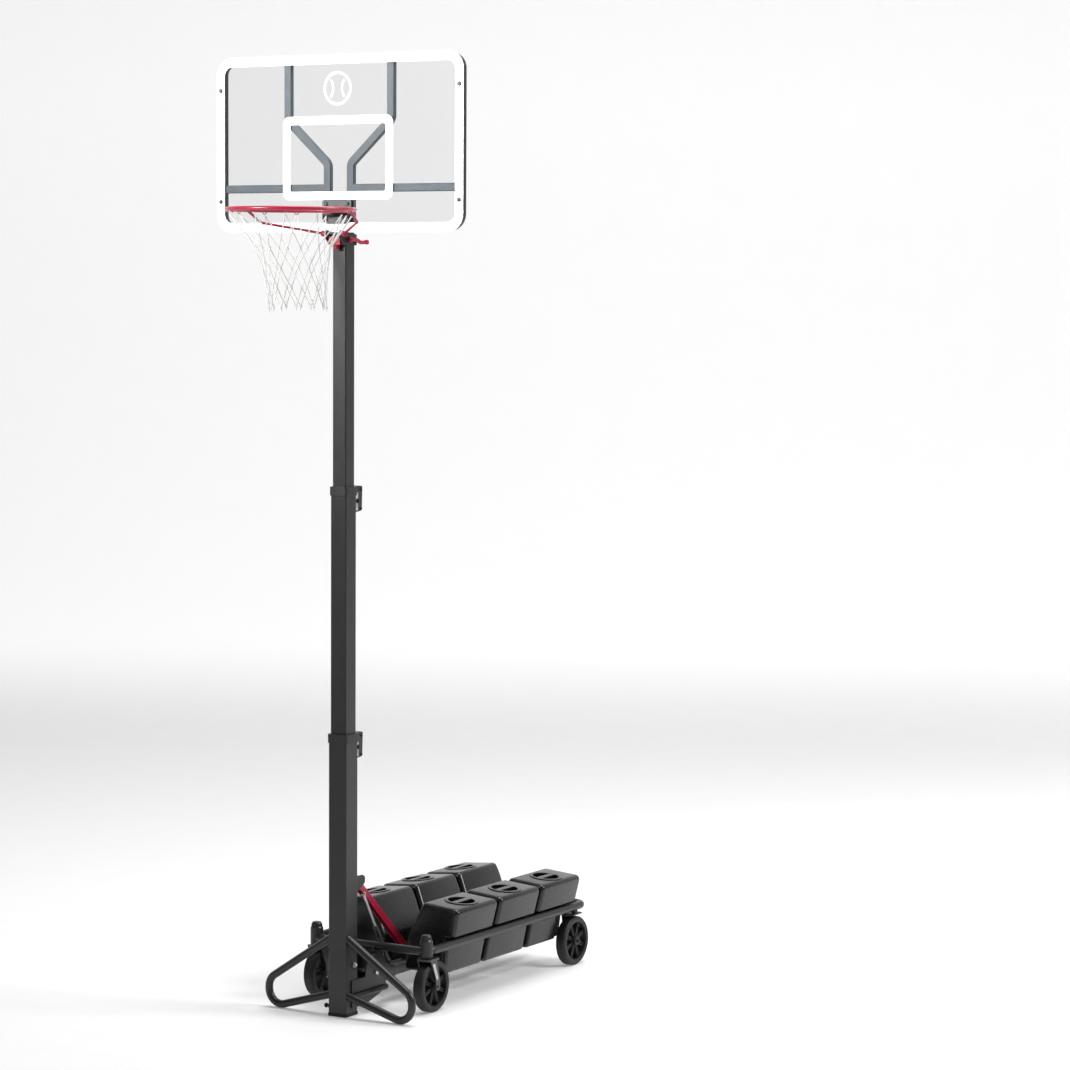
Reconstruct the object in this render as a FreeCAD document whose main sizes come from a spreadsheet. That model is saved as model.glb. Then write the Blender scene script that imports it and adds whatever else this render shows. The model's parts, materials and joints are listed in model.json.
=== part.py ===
"""Portable basketball hoop: a telescopic mast that folds back onto a wheeled ballast trolley.

Frame: X to the right as seen by a player facing the board, Y backwards (the hoop faces -Y),
Z up, origin on the floor below the centre line of the mast. All sizes are millimetres.
"""
import math
import os

import FreeCAD
import Part
import Sketcher

V = FreeCAD.Vector
doc = FreeCAD.newDocument("portable_hoop")

# ---------------------------------------------------------------- driving dimensions
DIMENSIONS = [
    # mast
    ("lower_width", 80, "square tube, bottom section"),
    ("middle_width", 70, "square tube, middle section"),
    ("upper_width", 60, "square tube, top section"),
    ("tube_wall", 2, "wall of every mast tube"),
    ("tube_corner", 5, "outer corner radius of the mast tubes"),
    ("lower_top", 1060, "height of the top of the bottom section"),
    ("middle_top", 1995, "height of the top of the middle section"),
    ("upper_top", 3100, "height of the top of the top section"),
    ("middle_overlap", 190, "length of the middle section hidden in the bottom one"),
    ("upper_overlap", 165, "length of the top section hidden in the middle one"),
    ("foot_height", 12, "rubber under the bottom section"),
    ("collar_height", 34, "plastic collar at the top of a section"),
    ("collar_wall", 4, "collar material outside the tube"),
    ("slide_gap", 0.4, "play between collar and sliding tube"),
    ("guide_length", 60, "collar sleeve inside the tube"),
    ("lock_width", 55, "width of the lock housings"),
    # hinge of the mast on the trolley
    ("hinge_back", 160, "hinge axis behind the mast centre line"),
    ("hinge_height", 142, "hinge axis above the floor"),
    ("hinge_pin", 12, "pin diameter"),
    ("plate", 5, "thickness of the steel plates"),
    ("thin_plate", 4, "thickness of the small lugs and cheeks"),
    ("bracket_plate", 6.5, "plates between the mast head and the stays"),
    # feet
    ("wing_tube", 30, "tube of the side feet"),
    ("wing_plane", 22, "side feet in front of the mast centre line"),
    ("wing_reach", 327, "centre line of the outer bend from the mast centre"),
    ("wing_top", 300, "upper weld of a side foot"),
    ("wing_bend", 56, "bend radius of a side foot"),
    ("wing_slope", 16.1, "rise of the lower run towards the mast, degrees"),
    ("loop_tube", 18, "tube of the rear foot loop"),
    ("loop_half", 54, "half the width of the rear foot loop"),
    ("loop_height", 75, "height of the rear foot loop"),
    ("loop_reach", 245, "rear end of the foot loop"),
    # trolley
    ("rail_tube", 32, "round tube of the trolley rail"),
    ("rail_height", 240, "centre of the rail above the floor"),
    ("rail_half", 266, "half the distance between the side rails"),
    ("rail_front", 178, "front cross run of the rail"),
    ("rail_rear", 1364, "rear ends of the side rails"),
    ("rail_bend", 45, "bend radius at the front corners"),
    ("post_size", 50, "diameter of a caster post"),
    ("post_half", 253, "caster post from the centre line"),
    ("post_back", 191, "caster post behind the mast centre line"),
    ("wheel_size", 200, "wheel diameter"),
    ("wheel_width", 46, "wheel width"),
    ("caster_trail", 35, "wheel axle behind the swivel axis"),
    ("rear_wheel_half", 255, "rear wheel centre plane from the centre line"),
    ("rear_wheel_back", 1285, "rear axle behind the mast centre line"),
    ("beam_width", 60, "centre beam"),
    ("beam_depth", 40, "centre beam"),
    ("beam_bottom", 100, "underside of the centre beam"),
    ("shelf_reach", 150, "tank shelf beside the centre beam"),
    ("shelf_deep", 32, "width of a tank shelf along the beam"),
    ("shelf_high", 4, "thickness of a tank shelf"),
    # ballast tanks
    ("tank_top", 385, "top of the tanks"),
    ("tank_inner", 50, "inner lower wall from the centre line"),
    ("tank_outer", 236, "outer lower wall from the centre line"),
    ("tank_shoulder", 262, "step that rests on the rail"),
    ("tank_lean", 50, "the ends of a tank lean forward towards the bottom"),
    ("tank_round", 16, "rounded edges of a tank"),
    ("tank_bottom", 118, "underside of the tanks"),
    ("tank_front", 365, "front face of the first tank"),
    ("tank_length", 300, "length of a tank"),
    ("tank_pitch", 320, "distance from one tank to the next"),
    ("notch_wide", 100, "wheel notch in the rear tanks"),
    ("notch_high", 224, "wheel notch in the rear tanks, from the floor"),
    ("cap_size", 130, "diameter of a filler cap"),
    ("cap_flange", 11.5, "thickness of the flange of a filler cap"),
    ("cap_plug", 112, "diameter of the plug under the flange of a filler cap"),
    ("cap_plug_deep", 24, "length of the plug of a filler cap"),
    ("cap_recess", 31, "depth of the two hand recesses in a filler cap"),
    ("cap_play", 1, "clearance on diameter round a filler cap"),
    # strut and gas spring
    ("hook_wide", 44, "back plate of the strut hook"),
    ("hook_high", 62, "back plate of the strut hook"),
    ("strut_size", 25, "width and depth of the red support strut"),
    ("strut_base_back", 450, "lower pivot of the strut"),
    ("strut_base_height", 165, "lower pivot of the strut"),
    ("strut_head_back", 100, "upper stop of the strut"),
    ("strut_head_height", 485, "upper stop of the strut"),
    ("spring_base_back", 272, "lower pivot of the gas spring"),
    ("spring_base_height", 165, "lower pivot of the gas spring"),
    ("spring_head_back", 100, "upper end of the gas spring"),
    ("spring_head_height", 452, "upper end of the gas spring"),
    # board and ring
    ("board_half", 555, "half the width of the board"),
    ("board_bottom", 2962, "lower edge of the board"),
    ("board_height", 662, "height of the board"),
    ("board_corner", 68, "corner radius of the board"),
    ("panel_face", 42, "front face of the panel ahead of the mast centre line"),
    ("panel_thick", 6, "polycarbonate panel"),
    ("frame_bar", 25, "square edge frame behind the panel"),
    ("stay_bar", 31, "width of the stays behind the panel"),
    ("stay_deep", 20, "depth of the stays"),
    ("rim_height", 3050, "top of the ring"),
    ("rim_inside", 450, "inner diameter of the ring"),
    ("rim_bar", 16, "round bar of the ring"),
    ("rim_gap", 75, "board face to the inside of the ring"),
    ("ring_pivot_front", 64, "ring fold axis ahead of the mast centre line"),
    ("ring_pivot_height", 2958, "ring fold axis"),
    ("clamp_wide", 70, "clamp of the ring bracket round the mast head"),
    ("clamp_high", 42, "clamp of the ring bracket round the mast head"),
    ("latch_wide", 50, "latch of the ring bracket"),
    ("latch_deep", 28, "latch of the ring bracket"),
    ("latch_high", 30, "latch of the ring bracket"),
    ("tongue_wide", 60, "tongue between the ring and its fold"),
    ("tongue_deep", 56, "tongue between the ring and its fold"),
    ("tongue_high", 9.2, "tongue between the ring and its fold"),
    ("net_length", 370, "net below the ring"),
    ("net_bottom", 105, "radius of the net's lower edge"),
]

sheet = doc.addObject("Spreadsheet::Sheet", "Sizes")
for row, (alias, number, meaning) in enumerate(DIMENSIONS, start=1):
    sheet.set("A%d" % row, str(number))
    sheet.setAlias("A%d" % row, alias)
    sheet.set("B%d" % row, meaning)
doc.recompute()


def size(alias):
    """A driving dimension as a plain number."""
    return float(sheet.get(alias))


def bind(thing, name, expression):
    """Bind one property to cells of the sheet; words that are aliases get the sheet's name."""
    aliases = sorted((entry[0] for entry in DIMENSIONS), key=len, reverse=True)
    words = expression.split(" ")
    linked = ["Sizes." + word if word in aliases else word for word in words]
    thing.setExpression(name, " ".join(linked))


# ---------------------------------------------------------------- outlines and placements
def rounded(points, radii, closed=True):
    """Lines with tangent arcs at the corners of a polygon, in the sketch plane."""
    count = len(points)
    corners = []
    for index, (x, y) in enumerate(points):
        here = V(x, y, 0)
        radius = radii[index] if isinstance(radii, (list, tuple)) else radii
        inner = closed or 0 < index < count - 1
        if not inner or radius <= 0:
            corners.append((here, None, here))
            continue
        before = (V(*points[index - 1], 0) - here).normalize()
        after = (V(*points[(index + 1) % count], 0) - here).normalize()
        half = before.getAngle(after) / 2
        reach = radius / math.tan(half)
        middle = here + (before + after).normalize() * (radius / math.sin(half) - radius)
        corners.append((here + before * reach, middle, here + after * reach))
    pieces = []
    for index in range(count if closed else count - 1):
        start = corners[index][2]
        end = corners[(index + 1) % count][0]
        if index and corners[index][1]:
            pieces.append(Part.Arc(*corners[index]))
        if (end - start).Length > 1e-6:
            pieces.append(Part.LineSegment(start, end))
    if closed and corners[0][1]:
        pieces.append(Part.Arc(*corners[0]))
    return pieces


def rectangle(width, depth, radius=0, centre=(0, 0)):
    """A rectangle about a centre, with rounded corners."""
    cx, cy = centre
    points = [(cx - width / 2, cy - depth / 2), (cx + width / 2, cy - depth / 2),
              (cx + width / 2, cy + depth / 2), (cx - width / 2, cy + depth / 2)]
    return rounded(points, radius)


def circle(diameter, centre=(0, 0)):
    return [Part.Circle(V(centre[0], centre[1], 0), V(0, 0, 1), diameter / 2)]


def strip(points, width, bends):
    """A bar of constant width that follows a polyline, as one closed outline."""
    sides = []
    for offset in (width / 2, -width / 2):
        side = []
        for index, (x, y) in enumerate(points):
            here = V(x, y, 0)
            ahead = V(*points[min(index + 1, len(points) - 1)], 0) - here
            behind = here - V(*points[max(index - 1, 0)], 0)
            normals = [V(-run.y, run.x, 0).normalize() for run in (behind, ahead) if run.Length]
            mean = sum(normals, V()).normalize()
            side.append(here + mean * (offset / mean.dot(normals[0])))
        sides.append([(point.x, point.y) for point in side])
    left_radii = []
    right_radii = []
    for index, bend in enumerate(bends):
        turn = 0
        if 0 < index < len(points) - 1:
            into = V(*points[index], 0) - V(*points[index - 1], 0)
            out = V(*points[index + 1], 0) - V(*points[index], 0)
            turn = into.cross(out).z
        shift = width / 2 if turn < 0 else -width / 2
        left_radii.append(bend + shift if bend else 0)
        right_radii.append(bend - shift if bend else 0)
    outline = sides[0] + sides[1][::-1]
    return rounded(outline, left_radii + right_radii[::-1])


def at(x=0, y=0, z=0, rotation=None):
    return FreeCAD.Placement(V(x, y, z), rotation or FreeCAD.Rotation())


def axes(x_axis, y_axis):
    """The rotation that takes the local X and Y axes to these directions."""
    x_axis = V(*x_axis).normalize()
    y_axis = V(*y_axis).normalize()
    return FreeCAD.Rotation(x_axis, y_axis, x_axis.cross(y_axis), "XYZ")


ALONG_X = axes((0, 1, 0), (0, 0, 1))      # outlines in (Y, Z), extruded towards +X
ALONG_Y = axes((-1, 0, 0), (0, 0, 1))     # outlines in (-X, Z), extruded towards +Y
FORWARD = axes((1, 0, 0), (0, 0, 1))      # outlines in (X, Z), extruded towards -Y
LEVEL = FreeCAD.Rotation()                # outlines in (X, Y), extruded upwards

nodes = []


def keep(thing, label, placement=None):
    """Give a finished sub-part its own label and place, and list it for export."""
    thing.Label = label
    if placement is not None:
        thing.Placement = placement
    nodes.append(thing)
    return thing


def origin_plane(body, role):
    for feature in body.Origin.OriginFeatures:
        if feature.Role == role:
            return feature
    raise ValueError(role)


def sketch(body, outline, role="XY_Plane"):
    """A sketch of the given lines, arcs and circles on one of the body's own planes."""
    drawing = body.newObject("Sketcher::SketchObject", body.Name + "_sketch")
    drawing.AttachmentSupport = [(origin_plane(body, role), "")]
    drawing.MapMode = "FlatFace"
    drawing.addGeometry(outline, False)
    return drawing


def new_body(label):
    return doc.addObject("PartDesign::Body", label)


def pad(body, outline, length, role="XY_Plane", symmetric=False, lift=0):
    """Pad an outline; length is an expression of sheet cells."""
    drawing = sketch(body, outline, role)
    if lift:
        drawing.AttachmentOffset = at(0, 0, lift)
    feature = body.newObject("PartDesign::Pad", body.Name + "_pad")
    feature.Profile = drawing
    if symmetric:
        feature.SideType = "Symmetric"
    bind(feature, "Length", length)
    return feature


def pocket(body, outline, depth, role="XY_Plane", lift=0, backwards=False, symmetric=False):
    """Cut an outline out of the body; an empty cut is an error."""
    doc.recompute()
    before = body.Shape.Volume
    drawing = sketch(body, outline, role)
    if lift:
        drawing.AttachmentOffset = at(0, 0, lift)
    feature = body.newObject("PartDesign::Pocket", body.Name + "_pocket")
    feature.Profile = drawing
    feature.Reversed = backwards
    if symmetric:
        feature.SideType = "Symmetric"
    bind(feature, "Length", depth)
    doc.recompute()
    if body.Shape.Volume >= before - 1e-3:
        raise ValueError("empty pocket in " + body.Name)
    return feature


def plate(label, outline, length, placement, symmetric=False):
    """An extruded piece: local XY outline, extruded along local Z."""
    body = new_body(label)
    pad(body, outline, length, symmetric=symmetric)
    return keep(body, label, placement)


def tube_run(label, points, bends, diameter, wall, plane, where=(0, 0, 0)):
    """A round tube along a flat path, given by its corners in a plane and their bend radii."""
    heading = math.degrees(math.atan2(points[1][1] - points[0][1], points[1][0] - points[0][0]))
    turn = FreeCAD.Rotation(V(0, 0, 1), heading)
    start = V(*points[0], 0)
    local = [turn.inverted().multVec(V(*point, 0) - start) for point in points]
    body = new_body(label)
    spine = sketch(body, rounded([(point.x, point.y) for point in local], bends, closed=False))
    rings = circle(size(diameter)) + circle(size(diameter) - 2 * wall)
    section = sketch(body, rings, "YZ_Plane")
    section.addConstraint(Sketcher.Constraint("Diameter", 0, size(diameter)))
    bind(section, "Constraints[0]", diameter)
    pipe = body.newObject("PartDesign::AdditivePipe", label + "_pipe")
    pipe.Profile = section
    pipe.Spine = (spine, [])
    body.Placement = FreeCAD.Placement(V(*where) + plane.multVec(start), plane * turn)
    return body


def bent_tube(label, *path):
    """A tube that is a sub-part by itself."""
    return keep(tube_run(label, *path), label)


def turned_body(name, profile, placement=None):
    """A profile in the local XZ plane, revolved about local Z."""
    body = new_body(name)
    drawing = sketch(body, profile, "XZ_Plane")
    feature = body.newObject("PartDesign::Revolution", body.Name + "_turn")
    feature.Profile = drawing
    feature.ReferenceAxis = (drawing, ["V_Axis"])
    feature.Angle = 360
    body.Placement = placement or at()
    return body


def turned(label, profile, placement):
    """A turned piece that is a sub-part by itself."""
    return keep(turned_body(label, profile), label, placement)


def box(name, lengths, corner):
    """A plain box; each length is an expression of sheet cells."""
    solid = doc.addObject("Part::Box", name)
    for prop, expression in zip(("Length", "Width", "Height"), lengths):
        bind(solid, prop, expression)
    solid.Placement = at(*corner)
    return solid


def cylinder(name, diameter, length, placement):
    """A plain cylinder; diameter and length are expressions of sheet cells."""
    solid = doc.addObject("Part::Cylinder", name)
    bind(solid, "Radius", "( " + diameter + " ) / 2")
    bind(solid, "Height", length)
    solid.Placement = placement
    return solid


def rod(name, diameter, start, end):
    """A round rod from one point to another."""
    run = V(*end) - V(*start)
    turn = FreeCAD.Rotation(V(0, 0, 1), run)
    solid = doc.addObject("Part::Cylinder", name)
    solid.Radius = diameter / 2
    solid.Height = run.Length
    solid.Placement = FreeCAD.Placement(V(*start), turn)
    return solid


def ball(name, diameter, centre):
    solid = doc.addObject("Part::Sphere", name)
    solid.Radius = diameter / 2
    solid.Placement = at(*centre)
    return solid


def fuse(name, pieces):
    joined = doc.addObject("Part::MultiFuse", name)
    joined.Shapes = pieces
    joined.Refine = True
    return joined


def cut(name, base, tool):
    left = doc.addObject("Part::Cut", name)
    left.Base = base
    left.Tool = tool
    return left


def group(name, pieces):
    """Separate solids that share one node."""
    together = doc.addObject("Part::Compound", name)
    together.Links = pieces
    return together


def shaped(name, outline, length, placement, symmetric=False):
    """An extruded body that is only a part of a sub-part."""
    body = new_body(name)
    pad(body, outline, length, symmetric=symmetric)
    body.Placement = placement
    return body


def pair(name, outline, inner, thickness="plate"):
    """Two mirrored plates, outlines in (Y, Z), with their inner faces this far from the middle."""
    right = shaped(name + "_right", outline, thickness, at(inner, 0, 0, ALONG_X))
    left = shaped(name + "_left", outline, thickness, at(-inner - size(thickness), 0, 0, ALONG_X))
    return [left, right]


def across(name, diameter, start, end, y, z):
    """A round bar or hole along X."""
    return rod(name, diameter, (start, y, z), (end, y, z))


SIDES = (("left", -1), ("right", 1))


# ---------------------------------------------------------------- mast tubes and collars
def square_tube(width, wall):
    """Outline of a square tube about the mast axis."""
    corner = size("tube_corner")
    return rectangle(width, width, corner) + rectangle(width - 2 * wall, width - 2 * wall, corner - wall)


def mast_tube(label, width, bottom, length):
    plate(label, square_tube(size(width), size("tube_wall")), length, at(0, 0, bottom))


def mast_collar(label, outer, inner, top):
    """Plastic ring on the end of a tube, with a guide sleeve inside it."""
    outer = size(outer)
    inner = size(inner)
    wall = size("tube_wall")
    corner = size("tube_corner")
    gap = size("slide_gap")
    slide = inner + 2 * gap
    ring = outer + 2 * size("collar_wall")
    bore = rectangle(slide, slide, corner + gap)
    body = new_body(label)
    pad(body, rectangle(ring, ring, corner + size("collar_wall")) + bore, "collar_height / 2")
    skirt = rectangle(ring, ring, corner + size("collar_wall")) + rectangle(outer, outer, corner)
    pad(body, skirt, "collar_height / 2", lift=-size("collar_height") / 2)
    bore_wide = outer - 2 * wall
    sleeve = rectangle(bore_wide, bore_wide, corner - wall) + rectangle(slide, slide, corner + gap)
    pad(body, sleeve, "guide_length", lift=-size("guide_length"))
    body.Placement = at(0, 0, top)
    return body


mast_tube("mast_lower", "lower_width", size("foot_height"), "lower_top - foot_height")
mast_tube("mast_middle", "middle_width", size("lower_top") - size("middle_overlap"),
          "middle_top - lower_top + middle_overlap")
mast_tube("mast_upper", "upper_width", size("middle_top") - size("upper_overlap"),
          "upper_top - middle_top + upper_overlap")

foot = new_body("mast_foot")
pad(foot, rectangle(86, 86, 8), "foot_height")
pad(foot, rectangle(75, 75, 3), "foot_height * 2", lift=size("foot_height"))
keep(foot, "mast_foot")
mast_cap = new_body("mast_cap")
pad(mast_cap, rectangle(60, 60, 5), "tube_wall * 2")
keep(mast_cap, "mast_cap", at(0, 0, size("upper_top")))


# ---------------------------------------------------------------- collars with their spring locks
LOCK_DEEP = 52
LOCK_HIGH = 100
LOCK_STEM = 8
LOCK_KNOB = 24
RUNNING = 0.1


def mast_lock(name, outer, inner, tube_top):
    """Collar of a tube, moulded in one with the lock housing behind it, and the knob of the spring pin."""
    face = size(outer) / 2
    half_ring = size("collar_height") / 2
    top = tube_top + half_ring
    low = top - LOCK_HIGH
    back = face + LOCK_DEEP
    ring_face = face + size("collar_wall")
    knob_height = top - 20
    outline = rounded([(face, low), (back - 4, low + 6), (back, top), (ring_face, top),
                       (ring_face, tube_top - half_ring), (face, tube_top - half_ring)],
                      [0, 6, 8, 0, 0, 0])
    block = shaped(name + "_block", outline, "lock_width", at(0, 0, 0, ALONG_X), symmetric=True)
    solid = fuse(name + "_moulding", [mast_collar(name + "_ring", outer, inner, tube_top), block])
    bore = rod(name + "_bore", LOCK_STEM + RUNNING, (0, face + 12, knob_height), (0, back + 1, knob_height))
    keep(cut(name + "_collar", solid, bore), name + "_collar")
    profile = rounded([(0, -34), (LOCK_STEM / 2, -34), (LOCK_STEM / 2, 0.5), (LOCK_KNOB / 2, 0.5),
                       (LOCK_KNOB / 2, 20), (0, 20)], [0, 0, 0, 3, 8, 0])
    turned(name + "_lock_knob", profile, at(0, back, knob_height, ALONG_Y))


mast_lock("lower", "lower_width", "middle_width", size("lower_top"))
mast_lock("upper", "middle_width", "upper_width", size("middle_top"))


# ---------------------------------------------------------------- side feet and foot loop
def side_foot(label, side):
    """Tube loop beside the mast; its lower bend touches the floor."""
    bend = size("wing_bend")
    reach = size("wing_reach")
    slope = math.radians(size("wing_slope"))
    weld = size("lower_width") / 2 - 4
    low_corner = size("wing_tube") / 2 + bend - bend * math.tan((math.pi / 2 + slope) / 2)
    high_corner = low_corner + 2 * bend
    low_weld = low_corner + (reach - weld) * math.tan(slope)
    points = [(weld, size("wing_top")), (reach, high_corner), (reach, low_corner), (weld, low_weld)]
    points = [(side * x, z) for x, z in points]
    tube = tube_run(label + "_tube", points, [0, bend, bend, 0], "wing_tube", 2, FORWARD,
                    (0, -size("wing_plane"), 0))
    mast_room = box(label + "_room", ["lower_width", "lower_width", "lower_top"],
                    (-size("lower_width") / 2, -size("lower_width") / 2, 0))
    keep(cut(label, tube, mast_room), label)


for name, side in SIDES:
    side_foot("side_foot_" + name, side)

half = size("loop_half")
front = -5
bent_tube("foot_loop", [(-half, front), (-half, size("loop_reach")), (half, size("loop_reach")), (half, front)],
          [0, 40, 40, 0], "loop_tube", 2, LEVEL, (0, 0, size("loop_height")))

KNOB_SIDE = -size("lower_width") / 2
foot_knob = rounded([(0, 0.3), (8, 0.3), (8, 6), (5, 9), (5, 14), (9, 14), (9, 22), (0, 22)],
                    [0, 0, 1, 0, 0, 2, 3, 0])
turned("foot_knob", foot_knob, at(KNOB_SIDE, -28, 36, axes((0, 1, 0), (0, 0, -1))))
side_knob = rounded([(0, 0.3), (22, 0.3), (22, 8), (0, 13)], [0, 0, 5, 0])
turned("side_knob", side_knob, at(KNOB_SIDE, 0, 421, axes((0, 1, 0), (0, 0, -1))))

# ---------------------------------------------------------------- hinge of the mast
HINGE = (size("hinge_back"), size("hinge_height"))
DISC = 74
MAST_PLATE = 40
YOKE_PLATE = 30
hinge_hole = circle(size("hinge_pin") + RUNNING, HINGE)
hy, hz = HINGE
mast_plate = rounded([(-5, 30), (90, 30), (hy + DISC, 68), (hy + DISC, hz + DISC), (hy - DISC, hz + DISC),
                      (hy - DISC, hz - 6), (-5, hz - 6)], [8, 30, 66, DISC, DISC, 0, 8]) + hinge_hole
keep(group("mast_bracket", pair("mast_plate", mast_plate, MAST_PLATE)), "mast_bracket")

pin_end = MAST_PLATE + size("plate") + 6
head = 5.5
pin_radius = size("hinge_pin") / 2
pin_length = 2 * pin_end
pin_profile = rounded([(0, 0), (10, 0), (10, head), (pin_radius, head), (pin_radius, pin_length - head),
                       (10, pin_length - head), (10, pin_length), (0, pin_length)], [0, 1, 0, 0, 0, 0, 1, 0])
turned("hinge_pin", pin_profile, at(-pin_end, hy, hz, ALONG_X))

rail_y = size("rail_front")
rail_z = size("rail_height")
beam_low = size("beam_bottom")
beam_high = beam_low + size("beam_depth")
yoke_plate = rounded([(hy - 22, hz - 30), (hy + 60, beam_low), (hy + 150, beam_low), (hy + 150, beam_high),
                      (rail_y + 32, beam_high + 40), (rail_y + 24, rail_z), (rail_y - 24, rail_z),
                      (hy - 22, hz + 20)], [14, 0, 4, 4, 10, 0, 0, 14]) + hinge_hole
yoke_solid = fuse("yoke_solid", pair("yoke", yoke_plate, YOKE_PLATE))
yoke_notch = across("yoke_notch", size("rail_tube"), -60, 60, rail_y, rail_z)
keep(cut("hinge_yoke", yoke_solid, yoke_notch), "hinge_yoke")

# ---------------------------------------------------------------- trolley frame
rail_half = size("rail_half")
rail_bend = size("rail_bend")
JOIN = 1290
rail_rear = size("rail_rear")
rail_runs = []
for name, end in (("front_run", rail_y), ("rear_run", rail_rear)):
    corners = [(-rail_half, JOIN), (-rail_half, end), (rail_half, end), (rail_half, JOIN)]
    bends = [0, rail_bend, rail_bend, 0]
    rail_runs.append(tube_run(name, corners, bends, "rail_tube", 2, LEVEL, (0, 0, rail_z)))
post_room = [cylinder("post_room", "post_size", "post_size * 2",
                      at(side * size("post_half"), size("post_back"), rail_z - 50)) for name, side in SIDES]
keep(cut("trolley_rail", fuse("rail_loop", rail_runs), fuse("post_rooms", post_room)), "trolley_rail")

BEAM_FRONT = hy + 14
BEAM_REAR = 1338
beam_width = size("beam_width")
beam_depth = size("beam_depth")
beam = new_body("beam_tube")
pad(beam, rectangle(beam_width, beam_depth, 4) + rectangle(beam_width - 4, beam_depth - 4, 2),
    "rail_rear - hinge_back - 40")
beam.Placement = at(0, BEAM_FRONT, beam_low + beam_depth / 2, ALONG_Y)
beam_parts = [beam, box("beam_riser", ["beam_width", "plate * 2", "rail_height - beam_bottom"],
                        (-beam_width / 2, BEAM_REAR, beam_low))]
tank_pitch = size("tank_pitch")
for place in range(3):
    middle = size("tank_front") + tank_pitch * place + 115
    for side in (-1, 1):
        inner = beam_width / 2 if side > 0 else -beam_width / 2 - size("shelf_reach")
        shelf = box("shelf_%d_%d" % (place, side), ["shelf_reach", "shelf_deep", "shelf_high"],
                    (inner, middle, size("tank_bottom") - size("shelf_high")))
        beam_parts.append(shelf)
keep(fuse("centre_beam", beam_parts), "centre_beam")

# ---------------------------------------------------------------- casters and wheels
WHEEL_BORE = 10 + RUNNING
CROWN = 203
POST_LOW = 212
POST_HIGH = 285
STEM = 20
FORK_INNER = 27
AXLE_HALF = 36
BRACKET_TOP = 214
BRACKET_HALF = 34
wheel_radius = size("wheel_size") / 2


def wheel(label, x, y):
    """Moulded wheel on its axle: tyre ring, hub and paired spokes."""
    half_width = size("wheel_width") / 2
    tyre = rounded([(76, -half_width + 3), (84, -half_width), (wheel_radius, -half_width),
                    (wheel_radius, half_width), (84, half_width), (76, half_width - 3)], [0, 0, 12, 12, 0, 0])
    ring = turned_body(label + "_ring", tyre)
    sleeve = rounded([(WHEEL_BORE / 2, -half_width - 2), (19, -half_width - 2), (19, half_width + 2),
                      (WHEEL_BORE / 2, half_width + 2)], [0, 3, 3, 0])
    hub = turned_body(label + "_hub", sleeve)
    spokes = []
    for count in range(16):
        lean = 1 if count % 2 else -1
        pair_angle = math.radians(45 * (count // 2) + 22.5)
        inner_angle = pair_angle + lean * math.radians(11.25)
        outer_angle = pair_angle + lean * math.radians(3.5)
        start = (17 * math.cos(inner_angle), 17 * math.sin(inner_angle))
        end = (79 * math.cos(outer_angle), 79 * math.sin(outer_angle))
        spokes.append(shaped(label + "_spoke", strip([start, end], 4.5, [0, 0]), "wheel_width - 20", at(),
                             symmetric=True))
    solid = fuse(label, [ring, hub] + spokes)
    keep(solid, label, at(x, y, wheel_radius, ALONG_X))


def caster(name, side):
    """Post on the rail, swivelling fork and front wheel."""
    x = side * size("post_half")
    y = size("post_back")
    post_radius = size("post_size") / 2
    post = rounded([((STEM + RUNNING) / 2, POST_LOW), (post_radius - 3, POST_LOW), (post_radius, POST_LOW + 8),
                    (post_radius, POST_HIGH - 6), (post_radius - 4, POST_HIGH),
                    ((STEM + RUNNING) / 2, POST_HIGH)], 0)
    posts.append(turned_body("post", post, at(x, y, 0)))
    cap = rounded([(0, POST_HIGH), (20, POST_HIGH), (20, POST_HIGH + 9), (16, POST_HIGH + 17),
                   (0, POST_HIGH + 17)], [0, 0, 2, 3, 0])
    post_caps.append(turned_body("post_cap", cap, at(x, y, 0)))
    trail = size("caster_trail")
    crown = shaped("crown", rectangle(2 * FORK_INNER + 10, 78, 14, (0, 12)), "plate + 3", at(0, 0, CROWN))
    stem = rod("stem", STEM, (0, 0, CROWN + 4), (0, 0, POST_HIGH - 1))
    leg = rounded([(-16, CROWN + 2), (26, CROWN + 2), (trail + 14, wheel_radius + 20),
                   (trail + 14, wheel_radius - 14), (trail - 14, wheel_radius - 14),
                   (trail - 16, wheel_radius + 30)], [2, 10, 30, 13, 13, 30])
    axle = across("axle", 10, -AXLE_HALF, AXLE_HALF, trail, wheel_radius)
    fork = fuse("caster_fork_" + name, [crown, stem, axle] + pair("leg", leg, FORK_INNER))
    keep(fork, "caster_fork_" + name, at(x, y, 0))
    wheel("front_wheel_" + name, x, y + trail)


def rear_wheel(name, side):
    """Fixed bracket under the rear of the rail, with its wheel on a stub axle outside the plate."""
    x = side * size("rear_wheel_half")
    y = size("rear_wheel_back")
    leg = rounded([(y - 14, wheel_radius - 14), (y + 14, wheel_radius - 14), (y + BRACKET_HALF, BRACKET_TOP),
                   (y - BRACKET_HALF, BRACKET_TOP)], [13, 13, 3, 3])
    leg_start = x - FORK_INNER - size("plate") if side > 0 else x + FORK_INNER
    plate_leg = shaped("rear_leg", leg, "plate", at(leg_start, 0, 0, ALONG_X))
    outline = rectangle(FORK_INNER * 2 + 7, BRACKET_HALF * 2, 8, (x - side * 1.5, y))
    crown = shaped("rear_crown", outline, "plate", at(0, 0, BRACKET_TOP - size("plate")))
    spacer = rod("rear_spacer", 24, (side * rail_half, y, BRACKET_TOP - 2),
                 (side * rail_half, y, rail_z - size("rail_tube") / 2 + 3))
    axle = across("axle", 10, x - side * (FORK_INNER + 2), x + side * AXLE_HALF, y, wheel_radius)
    rear_forks.append(fuse("rear_fork_" + name, [axle, plate_leg, crown, spacer]))
    wheel("rear_wheel_" + name, x, y)


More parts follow.
